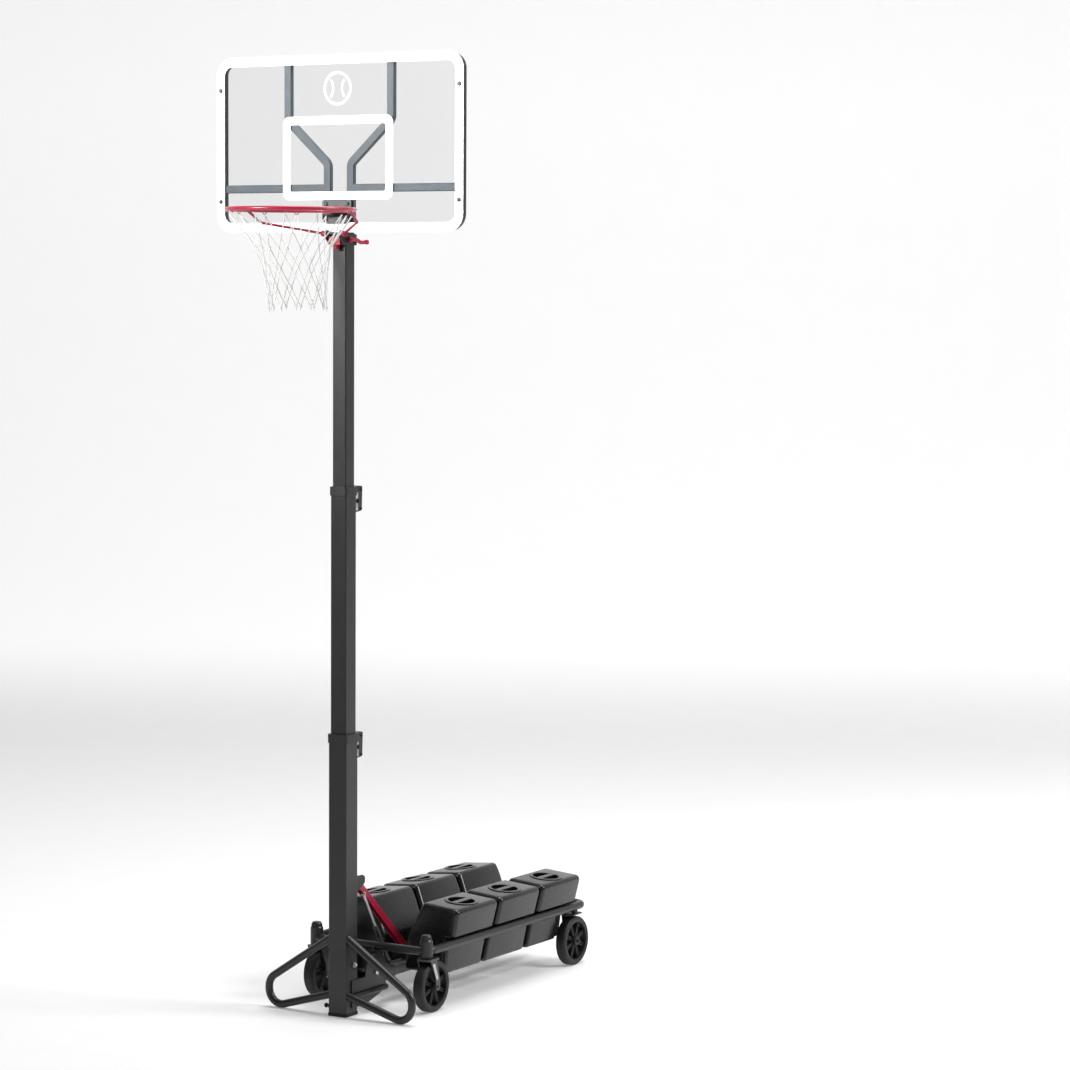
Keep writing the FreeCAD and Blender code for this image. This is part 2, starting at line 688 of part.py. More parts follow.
posts = []
post_caps = []
rear_forks = []
for name, side in SIDES:
    caster(name, side)
    rear_wheel(name, side)
keep(group("caster_posts", posts), "caster_posts")
keep(group("post_caps", post_caps), "post_caps")
keep(group("rear_forks", rear_forks), "rear_forks")

# ---------------------------------------------------------------- ballast tanks and their filler caps
CAP_TILT = 5
CAP_X = 205
CAP_Z = 377.5
CAP_SEAT = 9
CAP_LIFT = 0.4
REAR_NOTCH = 112
NOTCH_X = 205


def tank_section(side):
    """Cross-section of a tank in (X, Z); the right row, or its mirror image."""
    top = size("tank_top")
    bottom = size("tank_bottom")
    shoulder = size("tank_shoulder")
    inner = size("tank_inner")
    outer = size("tank_outer")
    soft = size("tank_round")
    points = [(118, top), (290, top - 15), (268, shoulder), (245, shoulder), (outer, bottom),
              (inner, bottom), (inner, shoulder - 22)]
    return rounded([(side * x, z) for x, z in points], [soft, soft, 5, 4, 12, 12, 40])


def tank_side(front, lean_front):
    """Side view of a tank in (Y, Z): its ends lean forward towards the bottom."""
    top = size("tank_top") + 5
    bottom = size("tank_bottom") - 5
    shoulder = size("tank_shoulder")
    back = front + size("tank_length")
    lean = size("tank_lean")
    points = [(front + 6, top), (back - 6, top), (back, top - 40), (back - 12, shoulder),
              (back - lean, bottom), (front - lean_front, bottom), (front - lean_front / 4, shoulder),
              (front, top - 40)]
    return rounded(points, [0, 0, 30, 30, 8, 8, 30, 30])


def tank(name, side, place):
    label = "tank_%s_%d" % (name, place + 1)
    front = size("tank_front") + size("tank_pitch") * place
    lean_front = size("tank_lean") if place else 20
    section = shaped(label + "_section", tank_section(side), "rail_rear + 100", at(0, 1500, 0, FORWARD))
    profile = shaped(label + "_profile", tank_side(front, lean_front), "rail_half * 3", at(0, 0, 0, ALONG_X),
                     symmetric=True)
    blank = doc.addObject("Part::MultiCommon", label + "_blank")
    blank.Shapes = [section, profile]
    tilt = FreeCAD.Rotation(V(0, 1, 0), side * CAP_TILT)
    middle = (side * CAP_X, front + size("tank_length") / 2, CAP_Z)
    mouth = at(*middle, tilt).multiply(at(0, 0, -CAP_SEAT))
    seat = cylinder(label + "_seat", "cap_size + cap_play", "post_size", mouth)
    bore = cylinder(label + "_bore", "cap_plug + cap_play", "post_size",
                    mouth.multiply(at(0, 0, -size("cap_plug_deep") - size("cap_play"))))
    hollow = cut(label + "_seated", blank, fuse(label + "_mouth", [seat, bore]))
    if place == 2:
        notch_x = NOTCH_X if side > 0 else -NOTCH_X - size("notch_wide")
        notch = box(label + "_notch", ["notch_wide", "tank_length", "notch_high"],
                    (notch_x, size("rear_wheel_back") - REAR_NOTCH, 0))
        hollow = cut(label + "_notched", hollow, notch)
    keep(hollow, label)
    cap_radius = size("cap_size") / 2
    cap = new_body("cap_%s_%d" % (name, place + 1))
    pad(cap, circle(size("cap_size")), "cap_flange")
    pad(cap, circle(size("cap_plug")), "cap_plug_deep", lift=-size("cap_plug_deep"))
    pocket(cap, half_moons(cap_radius), "cap_recess", lift=size("cap_flange"))
    keep(cap, cap.Name, at(*middle, tilt).multiply(at(0, 0, CAP_LIFT - CAP_SEAT)))


def half_moons(cap_radius):
    """The two hand recesses of a filler cap, either side of its bar."""
    radius = cap_radius - 12
    half_bar = 12
    reach = math.sqrt(radius ** 2 - half_bar ** 2)
    outline = []
    for side in (-1, 1):
        top = V(side * half_bar, reach, 0)
        bottom = V(side * half_bar, -reach, 0)
        outline.append(Part.Arc(top, V(side * radius, 0, 0), bottom))
        outline.append(Part.LineSegment(bottom, top))
    return outline


for name, side in SIDES:
    for place in range(3):
        tank(name, side, place)

# ---------------------------------------------------------------- support strut and gas spring
STRUT_FOOT = (size("strut_base_back"), size("strut_base_height"))
STRUT_HEAD = (size("strut_head_back"), size("strut_head_height"))
SPRING_FOOT = (size("spring_base_back"), size("spring_base_height"))
SPRING_HEAD = (size("spring_head_back"), size("spring_head_height"))
SPRING_X = 26


def span(start, end):
    """Length and rotation of a part that lies between two points given in (Y, Z)."""
    run = V(0, end[0] - start[0], end[1] - start[1])
    return run.Length, axes((0, run.y, run.z), (0, -run.z, run.y))


strut_long, strut_turn = span(STRUT_FOOT, STRUT_HEAD)
strut_size = size("strut_size")
bar = shaped("strut_bar", rectangle(strut_long + strut_size, strut_size, 12, (strut_long / 2, 0)),
             "strut_size", at(), symmetric=True)
channel = shaped("strut_channel", rectangle(strut_long - 44, strut_size, 0, (strut_long / 2, 2.5)),
                 "strut_size - plate", at(), symmetric=True)
eye = rod("strut_eye", 10 + RUNNING, (0, 0, -30), (0, 0, 30))
keep(cut("strut", cut("strut_open", bar, channel), eye), "strut", at(0, *STRUT_FOOT, strut_turn))

lug = rounded([(STRUT_FOOT[0] - 18, beam_high), (STRUT_FOOT[0] + 18, beam_high),
               (STRUT_FOOT[0] + 14, STRUT_FOOT[1] + 12), (STRUT_FOOT[0] - 14, STRUT_FOOT[1] + 12)],
              [0, 0, 11, 11])
strut_pin = across("strut_pin", 10, -22, 22, *STRUT_FOOT)
strut_foot = fuse("strut_foot", pair("strut_lug", lug, 15, "thin_plate") + [strut_pin])
spring_lug = rounded([(SPRING_FOOT[0] - 16, beam_high), (SPRING_FOOT[0] + 16, beam_high),
                      (SPRING_FOOT[0] + 10, SPRING_FOOT[1] + 10), (SPRING_FOOT[0] - 10, SPRING_FOOT[1] + 10)],
                     [0, 0, 9, 9])
spring_plate = shaped("spring_plate", spring_lug, "thin_plate", at(13, 0, 0, ALONG_X))
spring_pin = across("spring_pin", 8, 14, 36, *SPRING_FOOT)
keep(group("linkage_feet", [strut_foot, fuse("spring_foot", [spring_plate, spring_pin])]), "linkage_feet")

spring_long, spring_turn = span(SPRING_FOOT, SPRING_HEAD)
CYLINDER_LONG = 175
ROD_IN = 160
barrel = rod("gas_barrel", 18, (4, 0, 0), (CYLINDER_LONG, 0, 0))
barrel_eye = rod("gas_eye", 18, (0, 0, -8), (0, 0, 8))
barrel_solid = fuse("gas_solid", [barrel, barrel_eye])
gas_hole = rod("gas_hole", 8 + RUNNING, (0, 0, -12), (0, 0, 12))
gas_bore = rod("gas_bore", 8 + RUNNING, (20, 0, 0), (CYLINDER_LONG + 5, 0, 0))
gas_place = at(SPRING_X, *SPRING_FOOT, spring_turn)
keep(cut("gas_cylinder", cut("gas_bored", barrel_solid, gas_hole), gas_bore), "gas_cylinder", gas_place)
gas_stem = rod("gas_stem", 8, (ROD_IN, 0, 0), (spring_long, 0, 0))
gas_end = rod("gas_end", 16, (spring_long, 0, -5.5), (spring_long, 0, 5.5))
rod_hole = rod("gas_rod_hole", 9, (spring_long, 0, -10), (spring_long, 0, 10))
keep(cut("gas_rod", fuse("gas_rod_solid", [gas_stem, gas_end]), rod_hole), "gas_rod", gas_place)

# ---------------------------------------------------------------- strut hook and release loop on the mast
MAST_BACK = size("lower_width") / 2
HOOK_INNER = 14.5
LOOP_PIN = (MAST_BACK + 26, 482)
cheek = rounded([(MAST_BACK + 4, 466), (MAST_BACK + 34, 466), (122, 492), (122, 514), (106, 524),
                 (MAST_BACK + 4, 524)], [0, 14, 8, 6, 8, 0])
hook_back = box("hook_back", ["hook_wide", "thin_plate", "hook_high"], (-22, MAST_BACK, 464))
hook_pin = across("hook_pin", 5, -HOOK_INNER - 1, HOOK_INNER + 1, *LOOP_PIN)
keep(fuse("strut_hook", [hook_back, hook_pin] + pair("cheek", cheek, HOOK_INNER, "thin_plate")), "strut_hook")

LOOP_WIRE = 5
loop_half = 8
loop_low = 92
loop_path = [(-loop_half, -4), (-loop_half, -loop_low), (loop_half, -loop_low), (loop_half, -4)]
wire = Part.Wire([piece.toShape() for piece in rounded(loop_path, [0, 7.9, 7.9, 0], closed=False)])
start = Part.Wire([Part.Circle(V(-loop_half, -4, 0), V(0, 1, 0), LOOP_WIRE / 2).toShape()])
loop_tube = doc.addObject("Part::Feature", "loop_tube")
loop_tube.Shape = wire.makePipeShell([start], True, False)
loop_eyes = [rod("loop_eye", 11, (x - 3, 0, 0), (x + 3, 0, 0)) for x in (-loop_half, loop_half)]
loop_bores = rod("loop_bore", 5 + RUNNING, (-20, 0, 0), (20, 0, 0))
keep(cut("release_loop", fuse("loop_solid", [loop_tube] + loop_eyes), loop_bores), "release_loop",
     at(0, *LOOP_PIN, axes((1, 0, 0), (0, 0, 1))))

# ---------------------------------------------------------------- board
board_half = size("board_half")
board_low = size("board_bottom")
board_high = board_low + size("board_height")
board_mid = (board_low + board_high) / 2
face = -size("panel_face")
behind = face + size("panel_thick")
frame_bar = size("frame_bar")
EDGE = 7
FRAME_X = board_half - EDGE - frame_bar / 2
FRAME_SCREWS = [(side * FRAME_X, z) for side in (-1, 1) for z in (3080, 3500)]
PLATE_SCREWS = [(side * 48, z) for side in (-1, 1) for z in (3012, 3068)]
holes = [piece for spot in FRAME_SCREWS + PLATE_SCREWS for piece in circle(6.6, spot)]
panel_outline = rectangle(2 * board_half, size("board_height"), size("board_corner"), (0, board_mid))
plate("board_panel", panel_outline + holes, "panel_thick", at(0, behind, 0, FORWARD))


def hollow_bar(name, outside, inside, depth):
    """A closed tube behind the panel: the outer outline, less a smaller one inside its depth."""
    outer = shaped(name + "_outer", outside, depth, at(0, 0, -size(depth)))
    inner_place = at(0, 0, size("tube_wall") - size(depth))
    inner = shaped(name + "_inner", inside, depth + " - tube_wall * 2", inner_place)
    bar = cut(name, outer, inner)
    bar.Placement = at(0, behind, 0, FORWARD)
    return bar


def frame_ring(inset, width):
    """Rounded frame outline with its outer edge this far inside the edge of the panel."""
    wide = 2 * (board_half - inset)
    high = size("board_height") - 2 * inset
    corner = size("board_corner") - inset
    centre = (0, board_mid)
    inner = rectangle(wide - 2 * width, high - 2 * width, corner - width, centre)
    return rectangle(wide, high, corner, centre) + inner


edge = hollow_bar("edge_tube", frame_ring(EDGE, frame_bar), frame_ring(EDGE + 2, frame_bar - 4), "frame_bar")
head_gap = box("head_gap", ["upper_width + bracket_plate * 2", "frame_bar * 2", "frame_bar * 2"],
               (-36.5, behind - 5, board_low - 10))
keep(cut("board_edge", edge, head_gap), "board_edge")
STAY_TOP = board_high - EDGE - frame_bar
STAY_LOW = board_low + EDGE + frame_bar
STAY_X = 52
stay_bar = size("stay_bar")
for name, side in SIDES:
    path = [(side * 231, STAY_TOP), (side * 231, 3380), (side * STAY_X, 3218), (side * STAY_X, STAY_LOW)]
    core = [(side * 231, STAY_TOP - 2)] + path[1:3] + [(side * STAY_X, STAY_LOW + 2)]
    bends = [0, 30, 30, 0]
    outside = strip(path, stay_bar, bends)
    inside = strip(core, stay_bar - 4, bends)
    stay = hollow_bar("upright_" + name, outside, inside, "stay_deep")
    start = STAY_X + stay_bar / 2
    end = board_half - EDGE - frame_bar
    middle = (side * (start + end) / 2, 3127)
    crossbar = hollow_bar("crossbar_" + name, rectangle(end - start, 30, 0, middle),
                          rectangle(end - start - 4, 26, 0, middle), "stay_deep")
    keep(fuse("stay_" + name, [stay, crossbar]), "stay_" + name)

bracket_side = rounded([(behind, STAY_LOW), (20, STAY_LOW), (20, 3095), (behind, 3095)], [0, 8, 8, 0])
keep(group("board_bracket", pair("bracket", bracket_side, 30, "bracket_plate")), "board_bracket")
plate_outline = rounded([(-65, 3082), (-65, 3012), (-48, 2995), (48, 2995), (65, 3012), (65, 3082)], [3] * 6)
plate_holes = [piece for spot in PLATE_SCREWS for piece in circle(6.6, spot)]
plate("ring_plate", plate_outline + plate_holes, "plate", at(0, face, 0, FORWARD))


def screw(x, z, seat, length):
    """Round-headed screw pointing backwards, its head on the face at this Y."""
    profile = rounded([(0, -5), (8, -5), (8, 0), (3, 0), (3, length), (0, length)], [0, 3, 0, 0, 0, 0])
    return turned_body("screw", profile, at(x, seat, z, ALONG_Y))


screws = [screw(x, z, face, 18) for x, z in FRAME_SCREWS]
screws += [screw(x, z, face - size("plate"), 17) for x, z in PLATE_SCREWS]
keep(group("board_screws", screws), "board_screws")

# ---------------------------------------------------------------- ring, its bracket, latch and net
PIVOT = (-size("ring_pivot_front"), size("ring_pivot_height"))
LEVER = (-16, 2936)
ear = rounded([(20, 2915), (20, 2957), (-47, 2957), (-52, 2971), (-77, 2971), (-77, 2945), (-47, 2915)],
              [4, 4, 0, 10, 13, 13, 12])
ring_pin = across("ring_pin", 10, -56, 56, *PIVOT)
back_clamp = box("back_clamp", ["clamp_wide", "plate", "clamp_high"], (-35, 30, 2915))
pad_front = box("front_clamp", ["clamp_wide", "plate", "clamp_high"], (-35, -35, 2915))
lever_pin = across("lever_pin", 8, 33, 49, *LEVER)
latch_knob = rod("latch_knob", 22, (0, -47, 2900), (0, -47, 2917))
ear_back = rounded([(18, 2915), (18, 2957), (35, 2957), (35, 2915)], 0)
bracket_parts = [ring_pin, back_clamp, pad_front, lever_pin] + pair("ear", ear, 30)
bracket_parts += pair("ear_back", ear_back, 30)
keep(fuse("ring_bracket", bracket_parts), "ring_bracket")
latch = fuse("latch_solid", [box("latch_box", ["latch_wide", "latch_deep", "latch_high"],
                                 (-25, -63, 2917)), latch_knob])
keep(latch, "latch_body")

lever_outline = strip([LEVER, (20, 2936), (46, 2926), (88, 2928)], 14, [0, 20, 20, 0])
lever_arm = shaped("lever_arm", lever_outline, "plate + 1", at(41, 0, 0, ALONG_X))
lever_hub = across("lever_hub", 22, 35.5, 47, *LEVER)
lever_tip = across("lever_tip", 18, 39, 49, 88, 2928)
lever_hole = across("lever_hole", 8 + RUNNING, 34, 52, *LEVER)
keep(cut("ring_lever", fuse("lever_solid", [lever_arm, lever_hub, lever_tip]), lever_hole), "ring_lever")

ring_radius = (size("rim_inside") + size("rim_bar")) / 2
ring_y = face - size("rim_gap") - size("rim_inside") / 2
ring_z = size("rim_height") - size("rim_bar") / 2
rim = doc.addObject("Part::Torus", "rim")
rim.Radius1 = ring_radius
bind(rim, "Radius2", "rim_bar / 2")
rim.Placement = at(0, ring_y, ring_z)
tongue = box("tongue", ["tongue_wide", "tongue_deep", "tongue_high"], (-30, -111, ring_z - 5))
keep(fuse("ring_rim", [rim, tongue]), "ring_rim")

HOOKS = 12
hooks = []
for count in range(HOOKS):
    angle = 360 / HOOKS * count
    hook = doc.addObject("Part::Torus", "net_hook")
    hook.Radius1 = 8
    hook.Radius2 = 1.6
    hook.Angle3 = 200
    spin = FreeCAD.Rotation(V(0, 0, 1), angle) * axes((0, 1, 0), (0, 0, -1))
    swing = FreeCAD.Rotation(V(0, 0, 1), -10)
    spot = V(ring_radius, 0, -6)
    spot = FreeCAD.Rotation(V(0, 0, 1), angle).multVec(spot)
    hook.Placement = FreeCAD.Placement(V(0, ring_y, ring_z) + spot, spin * swing)
    hooks.append(hook)
keep(group("net_hooks", hooks), "net_hooks")

braces = []
for name, side in SIDES:
    eye_x = side * 45
    weld = (side * 228, ring_y + 47, ring_z - 3)
    knee = (side * 214, ring_y + 115, ring_z - 46)
    foot_end = (eye_x, *PIVOT)
    parts = [rod("brace", 10, weld, knee), ball("brace_knee", 10, knee), rod("brace", 10, knee, foot_end),
             across("brace_eye", 22, eye_x - 8, eye_x + 8, *PIVOT)]
    bore = across("brace_bore", 10 + RUNNING, eye_x - 12, eye_x + 12, *PIVOT)
    braces.append(cut("brace_" + name, fuse("brace_solid", parts), bore))
keep(group("ring_braces", braces), "ring_braces")

net_top = ring_radius - 8
net_bottom = size("net_bottom")
net_high = ring_z - 18
net_low = size("rim_height") - size("net_length")
waist = net_low + 130
net_profile = [(net_top, net_high), (net_bottom + 28, waist), (net_bottom, net_low), (net_bottom - 4, net_low),
               (net_bottom + 24, waist), (net_top - 4, net_high)]
turned("net", rounded(net_profile, [0, 200, 0, 0, 196, 0]), at(0, ring_y, 0))

# ---------------------------------------------------------------- check and export
doc.recompute()
for thing in doc.Objects:
    if "Invalid" in thing.State or "Error" in thing.State:
        raise ValueError("failed: " + thing.Name)
os.makedirs("parts", exist_ok=True)
for node in nodes:
    if node.Shape.isNull() or not node.Shape.isValid():
        raise ValueError("bad shape: " + node.Label)
    node.Shape.exportStep("parts/%s.step" % node.Label)
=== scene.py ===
import json
import math
import random

import bmesh
import bpy
from mathutils import Matrix, Vector


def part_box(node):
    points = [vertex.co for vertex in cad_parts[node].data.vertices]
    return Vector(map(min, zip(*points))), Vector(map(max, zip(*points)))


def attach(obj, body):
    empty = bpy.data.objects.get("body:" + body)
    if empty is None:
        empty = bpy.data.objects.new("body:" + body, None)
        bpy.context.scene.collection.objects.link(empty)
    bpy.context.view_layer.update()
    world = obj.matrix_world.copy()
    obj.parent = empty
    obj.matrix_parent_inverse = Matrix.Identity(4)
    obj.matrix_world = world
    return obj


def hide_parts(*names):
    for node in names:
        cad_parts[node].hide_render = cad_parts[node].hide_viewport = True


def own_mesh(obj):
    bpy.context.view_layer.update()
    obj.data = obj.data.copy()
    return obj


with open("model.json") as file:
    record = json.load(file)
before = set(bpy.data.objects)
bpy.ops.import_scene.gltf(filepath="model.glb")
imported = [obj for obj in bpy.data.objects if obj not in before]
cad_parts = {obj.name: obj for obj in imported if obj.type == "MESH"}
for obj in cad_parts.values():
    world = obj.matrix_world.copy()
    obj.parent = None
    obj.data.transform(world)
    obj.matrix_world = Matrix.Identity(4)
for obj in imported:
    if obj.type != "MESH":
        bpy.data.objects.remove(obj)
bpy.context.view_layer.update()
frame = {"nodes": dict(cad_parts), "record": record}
scene = bpy.context.scene
rng = random.Random(7)
BODY_OF = {node: body for body, nodes in frame["record"]["behaviour"]["bodies"].items() for node in nodes}
SLOT_OF = {part["node"]: part["material_slot"] for part in frame["record"]["subparts"]}
SIDES = (("left", -1), ("right", 1))

# ---------------------------------------------------------------- camera
LENS_MM = 113.1
CAMERA_AT = Vector((7.117, -10.437, 2.784))
CAMERA_LOOKS = Vector((-0.5141, 0.8549, -0.0701))
CAMERA_ROLL = math.radians(0.29)

camera = bpy.data.objects.new("camera", bpy.data.cameras.new("camera"))
scene.collection.objects.link(camera)
camera.data.lens = LENS_MM
camera.data.sensor_width = 36
camera.data.shift_y = -0.0162
camera.location = CAMERA_AT
aim = CAMERA_LOOKS.to_track_quat("-Z", "Y").to_matrix() @ Matrix.Rotation(CAMERA_ROLL, 3, "Z")
camera.rotation_euler = aim.to_euler()
scene.camera = camera


# ---------------------------------------------------------------- materials
def material(name, colour, rough, metallic=0.0, fleck=0.12, grain=(700, 0.0002), cloud=6.0, rough_play=0.06,
             coat=0.0, sheen=0.0, specular=0.5):
    """A surface with slow colour clouds, a fine moulded or sprayed grain and uneven gloss."""
    mat = bpy.data.materials.new(name)
    mat.use_nodes = True
    nodes = mat.node_tree.nodes
    links = mat.node_tree.links
    shader = nodes["Principled BSDF"]
    shader.inputs["Metallic"].default_value = metallic
    shader.inputs["Coat Weight"].default_value = coat
    shader.inputs["Coat Roughness"].default_value = 0.15
    shader.inputs["Sheen Weight"].default_value = sheen
    shader.inputs["Specular IOR Level"].default_value = specular
    where = nodes.new("ShaderNodeTexCoord")
    clouds = nodes.new("ShaderNodeTexNoise")
    clouds.inputs["Scale"].default_value = cloud
    clouds.inputs["Detail"].default_value = 6
    links.new(where.outputs["Object"], clouds.inputs["Vector"])
    tint = nodes.new("ShaderNodeValToRGB")
    dark = [channel * (1 - fleck) for channel in colour]
    light = [min(1, channel * (1 + fleck) + 0.002) for channel in colour]
    tint.color_ramp.elements[0].position = 0.3
    tint.color_ramp.elements[0].color = (*dark, 1)
    tint.color_ramp.elements[1].position = 0.7
    tint.color_ramp.elements[1].color = (*light, 1)
    links.new(clouds.outputs["Fac"], tint.inputs["Fac"])
    links.new(tint.outputs["Color"], shader.inputs["Base Color"])
    gloss = nodes.new("ShaderNodeMapRange")
    gloss.inputs["To Min"].default_value = rough - rough_play
    gloss.inputs["To Max"].default_value = rough + rough_play
    patches = nodes.new("ShaderNodeTexNoise")
    patches.inputs["Scale"].default_value = cloud * 5
    patches.inputs["Detail"].default_value = 4
    links.new(where.outputs["Object"], patches.inputs["Vector"])
    links.new(patches.outputs["Fac"], gloss.inputs["Value"])
    links.new(gloss.outputs["Result"], shader.inputs["Roughness"])
    scale, height = grain
    fine = nodes.new("ShaderNodeTexNoise")
    fine.inputs["Scale"].default_value = scale
    fine.inputs["Detail"].default_value = 3
    links.new(where.outputs["Object"], fine.inputs["Vector"])
    bump = nodes.new("ShaderNodeBump")
    bump.inputs["Strength"].default_value = 0.6
    bump.inputs["Distance"].default_value = height
    links.new(fine.outputs["Fac"], bump.inputs["Height"])
    links.new(bump.outputs["Normal"], shader.inputs["Normal"])
    return mat


MATERIALS = {
    "frame_paint": material("powder coat", (0.011, 0.011, 0.0125), 0.34, grain=(900, 0.0003), fleck=0.12),
    "slate_paint": material("slate coat", (0.045, 0.065, 0.08), 0.45, grain=(900, 0.0002)),
    "beam_grey": material("grey coat", (0.07, 0.07, 0.073), 0.5, grain=(900, 0.0002)),
    "fork_grey": material("dark fork coat", (0.035, 0.035, 0.037), 0.36, fleck=0.1),
    "bright_steel": material("bright steel", (0.5, 0.5, 0.51), 0.38, metallic=0.9, fleck=0.25, cloud=60),
    "black_plastic": material("black plastic", (0.008, 0.008, 0.0085), 0.42, grain=(450, 0.0003)),
    "tank_black": material("tank plastic", (0.0045, 0.0045, 0.0048), 0.26, grain=(420, 0.00012), fleck=0.16),
    "cap_black": material("cap plastic", (0.0045, 0.0045, 0.0048), 0.28, grain=(420, 0.0001)),
    "wheel_black": material("wheel rubber", (0.003, 0.003, 0.003), 0.55, grain=(260, 0.0005), fleck=0.25),
    "foot_rubber": material("foot rubber", (0.006, 0.006, 0.006), 0.75, grain=(260, 0.0008), fleck=0.3),
    "zinc": material("zinc plate", (0.6, 0.6, 0.61), 0.32, metallic=1.0, fleck=0.1, grain=(500, 0.0001)),
    "red_paint": material("crimson coat", (0.30, 0.002, 0.028), 0.33, coat=0.25, grain=(600, 0.0002), fleck=0.07),
    "cylinder_black": material("gloss black", (0.025, 0.025, 0.027), 0.25, coat=0.4, grain=(600, 0.0001)),
    "print_white": material("white print", (0.92, 0.93, 0.94), 0.5, fleck=0.015, grain=(500, 0.00005)),
}


def clear_panel():
    """Clear polycarbonate with a faint grey tint and fine haze."""
    mat = material("clear polycarbonate", (0.03, 0.034, 0.036), 0.1, fleck=0.02, grain=(60, 0.00003), rough_play=0.03)
    shader = mat.node_tree.nodes["Principled BSDF"]
    shader.inputs["Alpha"].default_value = 0.09
    shader.inputs["IOR"].default_value = 1.5
    return mat


def cord_material():
    """White braided cord: fine slanting strands."""
    mat = material("white cord", (0.62, 0.62, 0.61), 0.8, sheen=0.4, grain=(1500, 0.0003), fleck=0.05)
    nodes = mat.node_tree.nodes
    links = mat.node_tree.links
    strands = nodes.new("ShaderNodeTexWave")
    strands.wave_type = "BANDS"
    strands.bands_direction = "DIAGONAL"
    strands.inputs["Scale"].default_value = 260
    where = nodes.new("ShaderNodeTexCoord")
    links.new(where.outputs["Object"], strands.inputs["Vector"])
    braid = nodes.new("ShaderNodeBump")
    braid.inputs["Strength"].default_value = 0.8
    braid.inputs["Distance"].default_value = 0.0006
    links.new(strands.outputs["Fac"], braid.inputs["Height"])
    links.new(braid.outputs["Normal"], nodes["Principled BSDF"].inputs["Normal"])
    return mat


MATERIALS["clear_panel"] = clear_panel()
MATERIALS["net_white"] = cord_material()


def coat(thing, name):
    """Give an object one material."""
    thing.data.materials.clear()
    thing.data.materials.append(MATERIALS[name])


# Sub-parts whose finish differs from their slot.
LOOKS = {"board_screws": "black_plastic"}
for node, slot in SLOT_OF.items():
    for holder in frame["nodes"][node].material_slots:
        holder.material = MATERIALS[LOOKS.get(node, slot)]


def piece(name, mesh, look, body, smooth_angle=35):
    """A new object that rides on a CAD body."""
    mesh.polygons.foreach_set("use_smooth", [True] * len(mesh.polygons))
    mesh.set_sharp_from_angle(angle=math.radians(smooth_angle))
    thing = bpy.data.objects.new(name, mesh)
    scene.collection.objects.link(thing)
    coat(thing, look)
    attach(thing, body)
    return thing


def from_bmesh(build, name):
    """The finished mesh of a bmesh, which is freed."""
    mesh = bpy.data.meshes.new(name)
    build.to_mesh(mesh)
    build.free()
    return mesh


def bevelled(thing, width, segments=3, angle=35):
    """Round every edge of an object that is sharper than the angle."""
    edge = thing.modifiers.new("edges", "BEVEL")
    edge.width = width
    edge.segments = segments
    edge.limit_method = "ANGLE"
    edge.angle_limit = math.radians(angle)
    edge.harden_normals = True
    return thing


def softened(node, width, look=None, segments=3):
    """The CAD sub-part again, with its sharp edges rounded."""
    source = frame["nodes"][node]
    build = bmesh.new()
    build.from_mesh(source.data)
    bmesh.ops.remove_doubles(build, verts=build.verts, dist=1e-6)
    bmesh.ops.dissolve_limit(build, angle_limit=math.radians(1), verts=build.verts, edges=build.edges)
    thing = piece(node + "_soft", from_bmesh(build, node), look or SLOT_OF[node], BODY_OF[node])
    bevelled(thing, width, segments)
    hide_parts(node)
    return thing


EDGES = {"mast_foot": 0.002, "mast_bracket": 0.0012, "hinge_yoke": 0.0012, "lower_collar": 0.0015,
         "upper_collar": 0.0015, "mast_cap": 0.0015, "strut_hook": 0.001, "strut": 0.002, "latch_body": 0.002,
         "ring_plate": 0.0012, "board_bracket": 0.001, "ring_bracket": 0.001, "ring_lever": 0.0015,
         "caster_fork_left": 0.0015, "caster_fork_right": 0.0015, "rear_forks": 0.0012,
         "centre_beam": 0.0012, "linkage_feet": 0.0008, "board_edge": 0.003}
for node, width in EDGES.items():
    softened(node, width)
for side in ("left", "right"):
    softened("stay_" + side, 0.003, "slate_paint")
    for count in (1, 2, 3):
        softened("cap_%s_%d" % (side, count), 0.0015)
    for end in ("front", "rear"):
        softened("%s_wheel_%s" % (end, side), 0.0015)


# ---------------------------------------------------------------- blow-moulded tanks
# Corners of the section (x, z, radius) of a right-hand tank, and the segment along its middle.
TANK_SECTION = [(0.118, 0.3845, 0.018), (0.2865, 0.3698, 0.018), (0.268, 0.262, 0.005), (0.245, 0.262, 0.004),
                (0.236, 0.119, 0.014), (0.051, 0.119, 0.014), (0.051, 0.240, 0.040)]
TANK_CORE = (Vector((0.185, 0.318)), Vector((0.145, 0.175)))
TANK_END = 0.017
TANK_LONG = 0.300
TANK_COUNT = 3
FRONT_LEAN = {1: 0.020, 2: 0.050, 3: 0.050}
BACK_LEAN = 0.050
SIDE_STEPS = 6
FILL_STEPS = 5
CAP_X = 0.205
SEAT_Z = 0.3775
CAP_TILT = math.radians(5)
NOTCH_X = 0.255
NOTCH_SIZE = (0.1, 0.3, 0.224)
NOTCH_GAP = 0.012


